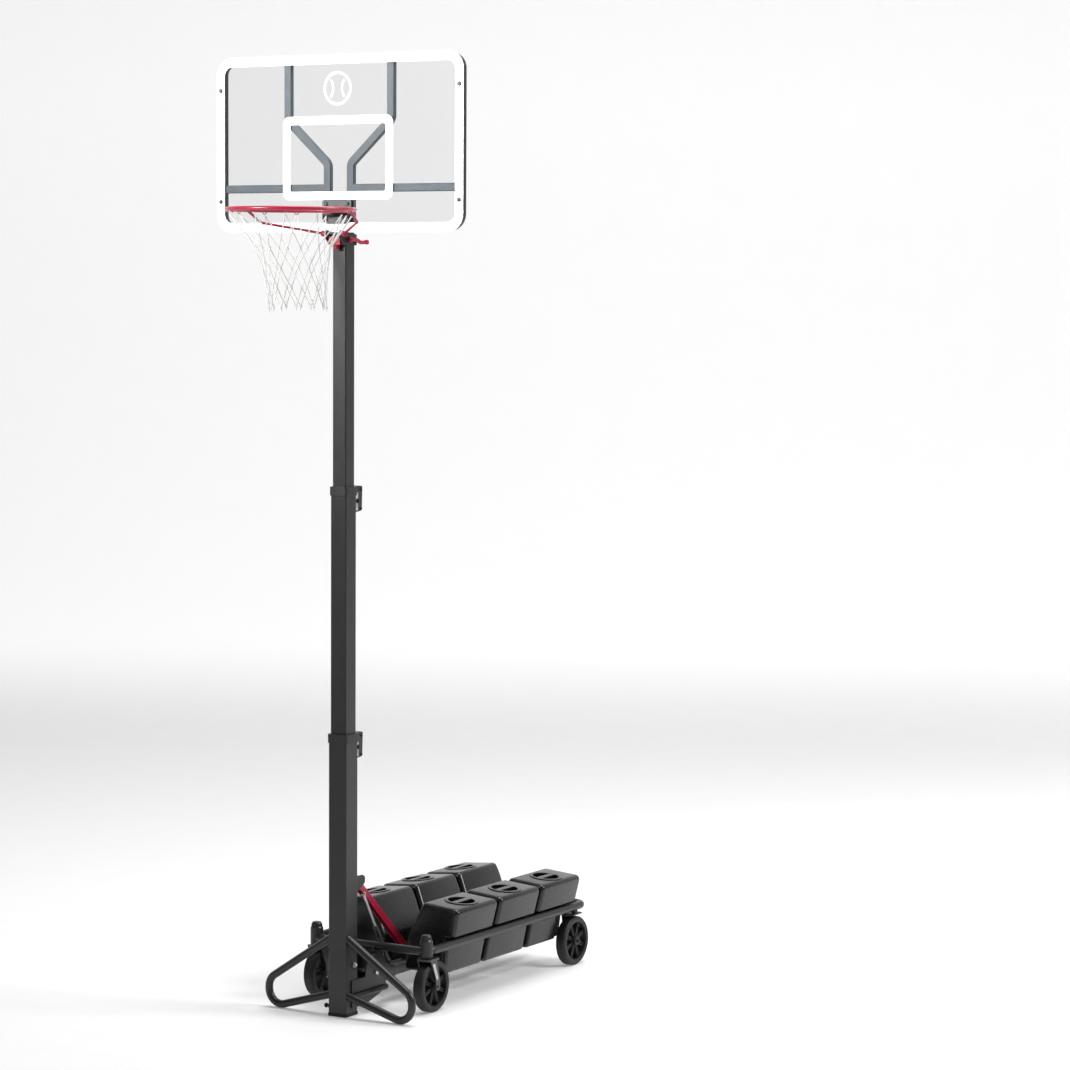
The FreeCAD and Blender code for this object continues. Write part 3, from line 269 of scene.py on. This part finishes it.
def rounded_section(corners, steps=7):
    """Points round a polygon (x, z, radius) with arcs at its corners and points along its sides."""
    count = len(corners)
    arcs = []
    for index, (x, z, radius) in enumerate(corners):
        here = Vector((x, z))
        before = (Vector(corners[index - 1][:2]) - here).normalized()
        after = (Vector(corners[(index + 1) % count][:2]) - here).normalized()
        half = before.angle(after) / 2
        reach = radius / math.tan(half)
        centre = here + (before + after).normalized() * (radius / math.sin(half))
        first = here + before * reach - centre
        turn = first.angle_signed(here + after * reach - centre)
        arc = []
        for step in range(steps + 1):
            spin = Matrix.Rotation(-turn * step / steps, 2)
            arc.append(centre + spin @ first)
        arcs.append(arc)
    points = []
    for index, arc in enumerate(arcs):
        points += arc
        gap = arcs[(index + 1) % count][0] - arc[-1]
        extra = int(gap.length / 0.02)
        points += [arc[-1] + gap * step / (extra + 1) for step in range(1, extra + 1)]
    return points


def core_point(point):
    """The nearest point to this one on the segment along the middle of a tank's section."""
    low, high = TANK_CORE
    along = high - low
    share = max(0, min(1, (point - low).dot(along) / along.dot(along)))
    return low + along * share


def lean_at(height, table):
    """Interpolate in a table of (height, offset), from the lowest to the highest."""
    for (low, first), (high, second) in zip(table, table[1:]):
        if height <= high:
            return first + (second - first) * (height - low) / (high - low)
    return table[-1][1]


def cutter(name, build):
    """A loose object for one boolean cut; it is removed after the cut."""
    thing = bpy.data.objects.new(name, from_bmesh(build, name))
    scene.collection.objects.link(thing)
    return thing


def end_stations():
    """Rings of a tank's end, from the middle of its flat to its straight sides.

    Each is (inset, share, shift): how far the section is drawn in, or how far it is filled towards
    its core, and how far the ring stands in from the end.
    """
    stations = [(None, step / FILL_STEPS, 0.0) for step in range(FILL_STEPS, 0, -1)]
    for step in range(SIDE_STEPS + 1):
        angle = math.pi / 2 * step / SIDE_STEPS
        stations.append((TANK_END * (1 - math.sin(angle)), None, TANK_END * (1 - math.cos(angle))))
    return stations


def station_ring(build, section, side, table, shift, inset, share):
    """One ring of a tank, drawn in or filled towards its core, on a leaning end."""
    ring = []
    for point in section:
        core = core_point(point)
        if inset is None:
            edge = point + (core - point).normalized() * TANK_END
            moved = edge + (core - edge) * share
        else:
            moved = point + (core - point).normalized() * inset
        ring.append(build.verts.new((side * moved.x, lean_at(moved.y, table) + shift, moved.y)))
    return ring


def tank_shell(name, side, front_table, back_table):
    """The closed shell of a tank: rounded all round, with leaning ends."""
    section = rounded_section(TANK_SECTION)
    stations = end_stations()
    build = bmesh.new()
    rings = []
    for table, hand, order in ((front_table, 1, stations), (back_table, -1, stations[::-1])):
        for inset, share, shift in order:
            rings.append(station_ring(build, section, side, table, hand * shift, inset, share))
    for one, two in zip(rings, rings[1:]):
        for index in range(len(one)):
            after = (index + 1) % len(one)
            build.faces.new((one[index], one[after], two[after], two[index]))
    for ring in (rings[0], rings[-1]):
        build.faces.new(ring)
    bmesh.ops.remove_doubles(build, verts=build.verts, dist=2e-5)
    bmesh.ops.recalc_face_normals(build, faces=build.faces)
    return from_bmesh(build, name)


def cap_cutters(side, middle_y):
    """The dished seat and the bore below a tank's cap."""
    tilt = Matrix.Translation((side * CAP_X, middle_y, SEAT_Z)) @ Matrix.Rotation(side * CAP_TILT, 4, "Y")
    seat = bmesh.new()
    bmesh.ops.create_cone(seat, cap_ends=True, segments=72, radius1=0.0655, radius2=0.0685, depth=0.021,
                          matrix=tilt @ Matrix.Translation((0, 0, 0.0015)))
    bore = bmesh.new()
    bmesh.ops.create_cone(bore, cap_ends=True, segments=64, radius1=0.0565, radius2=0.0565, depth=0.044,
                          matrix=tilt @ Matrix.Translation((0, 0, -0.012)))
    return [cutter("seat_cut", seat), cutter("bore_cut", bore)]


def notch_cutter(name, side):
    """The room that the last tank leaves for the rear wheel."""
    wheel_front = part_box("rear_wheel_" + name)[0][1]
    middle = (side * NOTCH_X, wheel_front - NOTCH_GAP + NOTCH_SIZE[1] / 2, NOTCH_SIZE[2] / 2)
    room = bmesh.new()
    bmesh.ops.create_cube(room, size=1, matrix=Matrix.Translation(middle) @ Matrix.Diagonal((*NOTCH_SIZE, 1)))
    return cutter("wheel_cut", room)


def cut_away(thing, cutters):
    """Cut the loose objects from a piece, and remove them."""
    for tool in cutters:
        cut = thing.modifiers.new("cut", "BOOLEAN")
        cut.operation = "DIFFERENCE"
        cut.solver = "EXACT"
        cut.object = tool
    shown = thing.evaluated_get(bpy.context.evaluated_depsgraph_get())
    finished = bpy.data.meshes.new_from_object(shown)
    thing.modifiers.clear()
    thing.data = finished
    finished.set_sharp_from_angle(angle=math.radians(35))
    for tool in cutters:
        bpy.data.objects.remove(tool)


def tank(name, side, count):
    """Blow-moulded tank: rounded all round, its ends leaning forward, with a seat for its cap."""
    node = "tank_%s_%d" % (name, count)
    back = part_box(node)[1][1]
    front = back - TANK_LONG
    lean = FRONT_LEAN[count]
    front_table = [(0.10, front - lean * 1.05), (0.118, front - lean), (0.262, front - lean / 4),
                   (0.345, front), (0.40, front + 0.006)]
    back_table = [(0.10, back - 0.054), (0.118, back - BACK_LEAN), (0.262, back - 0.012),
                  (0.345, back), (0.40, back - 0.006)]
    thing = piece(node + "_soft", tank_shell(node, side, front_table, back_table), "tank_black", "trolley")
    cap_low, cap_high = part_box("cap_%s_%d" % (name, count))
    cutters = cap_cutters(side, (cap_low[1] + cap_high[1]) / 2)
    if count == TANK_COUNT:
        cutters.append(notch_cutter(name, side))
    cut_away(thing, cutters)
    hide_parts(node)


for name, side in SIDES:
    for count in range(1, TANK_COUNT + 1):
        tank(name, side, count)

# ---------------------------------------------------------------- fasteners, plates and ribs
AXES = {"X": Matrix.Rotation(math.radians(90), 4, "Y"), "Y": Matrix.Rotation(math.radians(-90), 4, "X")}


def bolt(name, spot, axis, side, across, body, look="zinc"):
    """Hexagon head on a washer; the head points to the given side of its axis."""
    build = bmesh.new()
    turn = AXES[axis] if side > 0 else AXES[axis] @ Matrix.Rotation(math.pi, 4, "X")
    frame_at = Matrix.Translation(Vector(spot)) @ turn
    washer = 0.0016
    bmesh.ops.create_cone(build, cap_ends=True, segments=28, radius1=across * 0.78, radius2=across * 0.74,
                          depth=washer, matrix=frame_at @ Matrix.Translation((0, 0, washer / 2)))
    tall = across * 0.52
    bmesh.ops.create_cone(build, cap_ends=True, segments=6, radius1=across * 0.577, radius2=across * 0.577,
                          depth=tall, matrix=frame_at @ Matrix.Translation((0, 0, washer + tall / 2)))
    crown = across * 0.1
    bmesh.ops.create_cone(build, cap_ends=True, segments=24, radius1=across * 0.47, radius2=across * 0.36,
                          depth=crown, matrix=frame_at @ Matrix.Translation((0, 0, washer + tall + crown / 2)))
    return piece(name, from_bmesh(build, name), look, body, 25)


def slab(name, corners, thickness, axis_x, look, body, round_by=0.002):
    """A flat plate with rounded edges: its outline in (Y, Z), laid against the plane X = axis_x."""
    build = bmesh.new()
    face = build.faces.new([build.verts.new((axis_x, y, z)) for y, z in corners])
    moved = bmesh.ops.extrude_face_region(build, geom=[face])
    verts = [part for part in moved["geom"] if isinstance(part, bmesh.types.BMVert)]
    bmesh.ops.translate(build, verts=verts, vec=(thickness, 0, 0))
    bmesh.ops.recalc_face_normals(build, faces=build.faces)
    upright = [edge for edge in build.edges
               if abs(edge.verts[0].co.x - edge.verts[1].co.x) > abs(thickness) / 2]
    bmesh.ops.bevel(build, geom=upright, offset=round_by, segments=4, profile=0.5, affect="EDGES")
    thing = piece(name, from_bmesh(build, name), look, body, 30)
    bevelled(thing, abs(thickness) * 0.3, 2)
    return thing


def lock_plates(collar, body):
    """Bright wear plates on both sides of a lock housing, each with the black head of its rivet."""
    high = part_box(collar)[1]
    half = 0.0275
    near = high[1] - 0.048
    far = near + 0.017
    base = high[2] - 0.094
    for name, side in SIDES:
        outline = [(near, base), (far, base + 0.002), (far, base + 0.068), (near, base + 0.074)]
        slab("%s_plate_%s" % (collar, name), outline, side * 0.0014, side * half, "bright_steel", body, 0.003)
        bolt("%s_rivet_%s" % (collar, name), (side * (half + 0.0013), near + 0.013, base + 0.038), "X", side,
             0.0125, body, "black_plastic")
        for step, lift in enumerate((0.012, 0.083)):
            bolt("%s_screw_%s_%d" % (collar, name, step), (side * half, high[1] - 0.011, base + lift - 0.004),
                 "X", side, 0.006, body, "black_plastic")


lock_plates("lower_collar", "mast_lower")
lock_plates("upper_collar", "mast_middle")

PLATE_FACE = 0.045
BOLT_BACK = 0.012
LOW_BOLT_Z = 0.06
BRACKET_BOLT = 0.013
BRACKET_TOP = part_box("mast_bracket")[1][2]
for name, side in SIDES:
    for place, height in (("low", LOW_BOLT_Z), ("high", BRACKET_TOP - 0.022)):
        bolt("bracket_bolt_%s_%s" % (place, name), (side * PLATE_FACE, BOLT_BACK, height), "X", side,
             BRACKET_BOLT, "mast_lower")


def fork_highlight_strip(name, side):
    """Bright metal strip on the outer face of a caster leg: a painted highlight for the stripe of light down the dark
    leg.
    """
    low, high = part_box("caster_fork_" + name)
    wheel_low, wheel_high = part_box("front_wheel_" + name)
    hub_y = (wheel_low[1] + wheel_high[1]) / 2
    hub_z = (wheel_low[2] + wheel_high[2]) / 2
    middle = (low[0] + high[0]) / 2
    outline = [(hub_y - 0.040, 0.192), (hub_y - 0.024, 0.192), (hub_y + 0.001, hub_z + 0.032),
               (hub_y - 0.011, hub_z + 0.026)]
    slab("fork_highlight_strip_" + name, outline, side * 0.001, middle + side * 0.032, "bright_steel",
         "caster_" + name, 0.002)


# Painted highlights: bright strips laid on the dark caster legs where light catches them.
for name, side in SIDES:
    fork_highlight_strip(name, side)


POST_RIBS = 14


def post_ribs(name, side):
    """Ribs moulded round the cap of a caster post."""
    low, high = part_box("post_caps")
    centre_x = side * (high[0] - 0.02)
    centre_y = (low[1] + high[1]) / 2
    build = bmesh.new()
    for count in range(POST_RIBS):
        angle = 2 * math.pi * count / POST_RIBS
        shape = Matrix.Translation((centre_x, centre_y, low[2] + 0.0048)) @ Matrix.Rotation(angle, 4, "Z")
        shape = shape @ Matrix.Translation((0.0203, 0, 0)) @ Matrix.Diagonal((0.0022, 0.0042, 0.0085, 1))
        bmesh.ops.create_cube(build, size=1, matrix=shape)
    thing = piece("post_ribs_" + name, from_bmesh(build, "ribs"), "black_plastic", "trolley", 30)
    bevelled(thing, 0.0005, 2)


for name, side in SIDES:
    post_ribs(name, side)

# ---------------------------------------------------------------- net
RING_LOW, RING_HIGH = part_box("ring_rim")
RING_Y = RING_LOW[1] + 0.241
# Height and radius of each row of knots, from the hooks down.
NET_ROWS = [(3.022, 0.226), (2.905, 0.143), (2.832, 0.119), (2.758, 0.111), (2.688, 0.109)]
NET_LEAN = Vector((0.022, 0.014, 0))
HOOKS = 12
HALF_STEP = 180 // HOOKS
CORD = 0.0022
KNOT = 0.0052


def net_point(turn, row, jitter):
    """Where the knot at an angle in degrees and a row hangs."""
    height, radius = NET_ROWS[row]
    angle = math.radians(turn)
    wander = jitter[(turn % 360, row)]
    hang = NET_LEAN * ((NET_ROWS[0][0] - height) / (NET_ROWS[0][0] - NET_ROWS[-1][0]))
    return hang + Vector(((radius + wander[0]) * math.cos(angle + wander[1]),
                          RING_Y + (radius + wander[0]) * math.sin(angle + wander[1]), height + wander[2]))


def net_jitter():
    """How far each knot strays in radius, angle and height; the hooks hold the top row."""
    jitter = {}
    for row in range(len(NET_ROWS)):
        loose = 0 if row == 0 else 1
        for turn in range(0, 360, HALF_STEP):
            jitter[(turn, row)] = (rng.uniform(-0.004, 0.002) * loose, rng.uniform(-0.03, 0.03) * loose,
                                   rng.uniform(-0.006, 0.006) * loose)
    return jitter


def net_strand(curve, points):
    """One strand through its knots, straight near each knot and sagging a little between them."""
    dense = [points[0]]
    for start, end in zip(points, points[1:]):
        run = end - start
        dense += [start + run * 0.12, start + run * 0.5 + Vector((0, 0, -0.003)), start + run * 0.88]
    dense.append(points[-1])
    spline = curve.splines.new("NURBS")
    spline.points.add(len(dense) - 1)
    for place, point in zip(spline.points, dense):
        place.co = (*point, 1)
    spline.order_u = 3
    spline.use_endpoint_u = True


def net_knot(build, centre, turn, last):
    """A knot, with a short tail below it in the lowest row."""
    shape = Matrix.Translation(centre) @ Matrix.Rotation(math.radians(turn), 4, "Z")
    shape = shape @ Matrix.Diagonal((0.8, 1.0, 1.35, 1))
    bmesh.ops.create_icosphere(build, subdivisions=2, radius=KNOT, matrix=shape)
    if last:
        tail = Matrix.Translation(centre + Vector((0, 0, -0.009)))
        bmesh.ops.create_cone(build, cap_ends=True, segments=8, radius1=0.0016, radius2=0.0022, depth=0.014,
                              matrix=tail)


def net():
    """Diamond mesh of knotted cord, hung from the hooks."""
    jitter = net_jitter()
    curve = bpy.data.curves.new("net", "CURVE")
    curve.dimensions = "3D"
    curve.bevel_depth = CORD
    curve.bevel_resolution = 3
    curve.resolution_u = 6
    knots = set()
    for hook in range(HOOKS):
        for hand in (-1, 1):
            points = []
            for row in range(len(NET_ROWS)):
                turn = (2 * hook + hand * row) * HALF_STEP
                points.append(net_point(turn, row, jitter))
                knots.add((turn % 360, row))
            net_strand(curve, points)
    cords = bpy.data.objects.new("net_cords", curve)
    scene.collection.objects.link(cords)
    mesh = bpy.data.meshes.new_from_object(cords)
    bpy.data.objects.remove(cords)
    build = bmesh.new()
    build.from_mesh(mesh)
    for turn, row in sorted(knots):
        if row > 0:
            net_knot(build, net_point(turn, row, jitter), turn, row == len(NET_ROWS) - 1)
    thing = piece("net_mesh", from_bmesh(build, "net"), "net_white", "ring", 60)
    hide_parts("net")
    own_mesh(thing)


net()


# ---------------------------------------------------------------- printed lines on the panel
PANEL_LOW, PANEL_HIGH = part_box("board_panel")
PANEL_MID = (PANEL_LOW[2] + PANEL_HIGH[2]) / 2
PRINT_FACE = PANEL_LOW[1] - 0.0002
PRINT_THICK = 0.0004


def rounded_loop(half_x, half_z, radius, centre_z, steps=10):
    """Points round a rectangle (x, z) with rounded corners."""
    points = []
    for quarter, (sx, sz) in enumerate(((1, 1), (-1, 1), (-1, -1), (1, -1))):
        for step in range(steps + 1):
            angle = math.pi / 2 * (quarter + step / steps)
            points.append((sx * (half_x - radius) + radius * math.cos(angle),
                           centre_z + sz * (half_z - radius) + radius * math.sin(angle)))
    return points


def printed_band(name, outer, inner):
    """A closed band of paint between two loops with the same number of points."""
    build = bmesh.new()
    rings = []
    for depth in (PRINT_FACE, PRINT_FACE + PRINT_THICK):
        for loop in (outer, inner):
            rings.append([build.verts.new((x, depth, z)) for x, z in loop])
    front_outer, front_inner, back_outer, back_inner = rings
    count = len(outer)
    for index in range(count):
        after = (index + 1) % count
        for first, second in ((front_outer, front_inner), (back_inner, back_outer), (back_outer, front_outer),
                              (front_inner, back_inner)):
            build.faces.new((first[index], first[after], second[after], second[index]))
    bmesh.ops.recalc_face_normals(build, faces=build.faces)
    piece(name, from_bmesh(build, name), "print_white", "mast_upper", 20)


half_wide = PANEL_HIGH[0] - 0.001
half_high = (PANEL_HIGH[2] - PANEL_LOW[2]) / 2 - 0.001
BORDER = 0.036
printed_band("print_border", rounded_loop(half_wide, half_high, 0.067, PANEL_MID),
             rounded_loop(half_wide - BORDER, half_high - BORDER, 0.034, PANEL_MID))
TARGET_LOW, TARGET_HIGH = 3.084, 3.395
target_mid = (TARGET_LOW + TARGET_HIGH) / 2
target_half = (TARGET_HIGH - TARGET_LOW) / 2
printed_band("print_target", rounded_loop(0.247, target_half, 0.028, target_mid),
             rounded_loop(0.214, target_half - 0.031, 0.008, target_mid))


def ball_mark():
    """A plain ball outline with two seams, as a generic mark."""
    centre = (0.0, 3.497)
    radius = 0.058
    seam_off, seam_radius, seam_turn = 0.075, 0.055, 0.62
    build = bmesh.new()

    def arc(middle, reach, start, end, width, steps=36):
        inner = []
        outer = []
        for step in range(steps + 1):
            angle = start + (end - start) * step / steps
            for store, distance in ((inner, reach - width / 2), (outer, reach + width / 2)):
                store.append(build.verts.new((middle[0] + distance * math.cos(angle), PRINT_FACE,
                                              middle[1] + distance * math.sin(angle))))
        for index in range(steps):
            build.faces.new((inner[index], inner[index + 1], outer[index + 1], outer[index]))

    arc(centre, radius, 0, 2 * math.pi, 0.009)
    arc((centre[0] - seam_off, centre[1]), seam_radius, -seam_turn, seam_turn, 0.007)
    arc((centre[0] + seam_off, centre[1]), seam_radius, math.pi - seam_turn, math.pi + seam_turn, 0.007)
    solid = bmesh.ops.extrude_face_region(build, geom=build.faces[:])
    moved = [part for part in solid["geom"] if isinstance(part, bmesh.types.BMVert)]
    bmesh.ops.translate(build, verts=moved, vec=(0, PRINT_THICK, 0))
    bmesh.ops.recalc_face_normals(build, faces=build.faces)
    piece("print_mark", from_bmesh(build, "print_mark"), "print_white", "mast_upper", 20)


ball_mark()

# ---------------------------------------------------------------- floor and light
FLOOR_FRONT = -14
FLOOR_BACK = 7
FLOOR_HALF = 26
FLOOR_TURN = math.radians(31)
WALL_BEND = 4.0
WALL_TOP = 16
BEND_STEPS = 16


def studio():
    """Pale floor that curves up into the backdrop."""
    build = bmesh.new()
    profile = [(FLOOR_FRONT, 0.0), (FLOOR_BACK, 0.0)]
    for step in range(1, BEND_STEPS + 1):
        angle = math.pi / 2 * step / BEND_STEPS
        profile.append((FLOOR_BACK + WALL_BEND * math.sin(angle), WALL_BEND - WALL_BEND * math.cos(angle)))
    profile.append((FLOOR_BACK + WALL_BEND, WALL_TOP))
    rows = []
    for along, height in profile:
        rows.append([build.verts.new((x, along, height)) for x in (-FLOOR_HALF, FLOOR_HALF)])
    for first, second in zip(rows, rows[1:]):
        build.faces.new((first[0], first[1], second[1], second[0]))
    floor_mesh = from_bmesh(build, "floor")
    floor_mesh.polygons.foreach_set("use_smooth", [True] * len(floor_mesh.polygons))
    floor = bpy.data.objects.new("floor", floor_mesh)
    scene.collection.objects.link(floor)
    floor.rotation_euler = (0, 0, FLOOR_TURN)
    floor.data.materials.append(backdrop_paint())


def backdrop_paint():
    """Matt white paper that glows more the higher it rises behind the object."""
    mat = material("backdrop", (0.7, 0.7, 0.7), 0.8, fleck=0.01, grain=(40, 0.0001))
    nodes = mat.node_tree.nodes
    links = mat.node_tree.links
    shader = nodes["Principled BSDF"]
    where = nodes.new("ShaderNodeTexCoord")
    split = nodes.new("ShaderNodeSeparateXYZ")
    links.new(where.outputs["Object"], split.inputs["Vector"])
    rise = nodes.new("ShaderNodeMapRange")
    rise.interpolation_type = "SMOOTHSTEP"
    rise.inputs["From Min"].default_value = 0.0
    rise.inputs["From Max"].default_value = 0.5
    rise.inputs["To Min"].default_value = 0.2
    rise.inputs["To Max"].default_value = 0.45
    links.new(split.outputs["Z"], rise.inputs["Value"])
    shader.inputs["Emission Color"].default_value = (1, 1, 1, 1)
    links.new(rise.outputs["Result"], shader.inputs["Emission Strength"])
    return mat


def lamp(name, place, target, width, power, spread=180):
    """A square soft lamp aimed at a point; spread is in degrees."""
    light = bpy.data.lights.new(name, "AREA")
    light.shape = "RECTANGLE"
    light.size = width
    light.size_y = width
    light.energy = power
    light.spread = math.radians(spread)
    thing = bpy.data.objects.new(name, light)
    scene.collection.objects.link(thing)
    thing.location = place
    thing.rotation_euler = (Vector(target) - Vector(place)).to_track_quat("-Z", "Y").to_euler()


studio()
world = bpy.data.worlds.new("world")
world.use_nodes = True
world.node_tree.nodes["Background"].inputs["Color"].default_value = (1, 1, 1, 1)
world.node_tree.nodes["Background"].inputs["Strength"].default_value = 0.2
scene.world = world
lamp("key", (9, 3.5, 7.5), (0, 0.2, 1.4), 3.5, 820)
lamp("board", (-3.5, -8, 5.4), (-0.1, 0, 3.7), 2, 62, spread=32)
lamp("top", (0.5, 1.5, 7.5), (0, 0.5, 0), 4.5, 430)
scene.view_settings.view_transform = "Standard"
